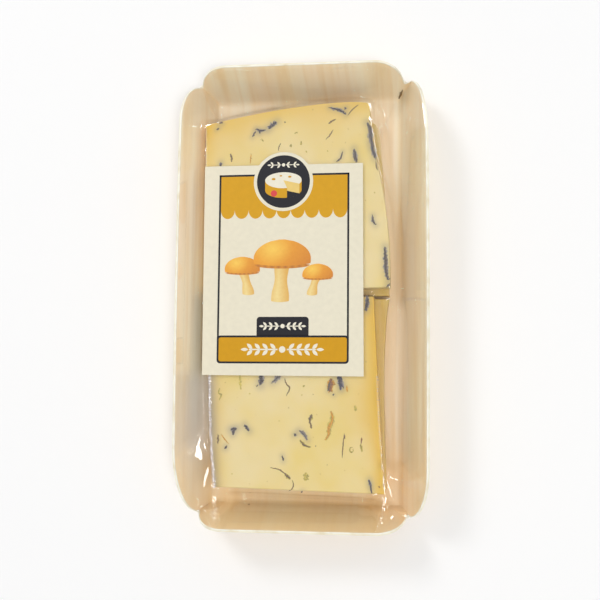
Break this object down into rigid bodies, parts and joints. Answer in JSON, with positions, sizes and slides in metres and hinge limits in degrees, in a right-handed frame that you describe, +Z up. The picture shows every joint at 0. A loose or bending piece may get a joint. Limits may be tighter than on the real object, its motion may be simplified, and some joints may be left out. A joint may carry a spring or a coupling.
{
  "type": "film-sealed tray of sliced raclette cheese",
  "caption": "Shallow folded veneer tray with flared walls and notched corners, holding stacked slices of mushroom-flecked raclette under a clear skin film with a paper label.",
  "frame": {"origin": "under the middle of the tray's floor, at the bottom of the bounding box", "axes": "+Y along the tray towards its rear end, which is the top of the label; +X across it to the label's right; +Z up"},
  "size_m": [0.1162, 0.214, 0.0274],
  "materials": {
    "veneer": "pale sliced veneer, satin, grain along the tray",
    "cheese": "semi-hard cheese paste, moist satin",
    "cheese_shaded": "semi-hard cheese paste, moist satin",
    "film": "clear glossy packing film",
    "label_paper": "coated paper, semi-matt print"
  },
  "bodies": {
    "root": {"tray": "veneer", "slice_rear_top": "cheese", "slice_rear_under": "cheese_shaded", "slice_front_top": "cheese", "slice_front_under": "cheese_shaded", "film": "film", "label": "label_paper"}
  },
  "joints": []
}
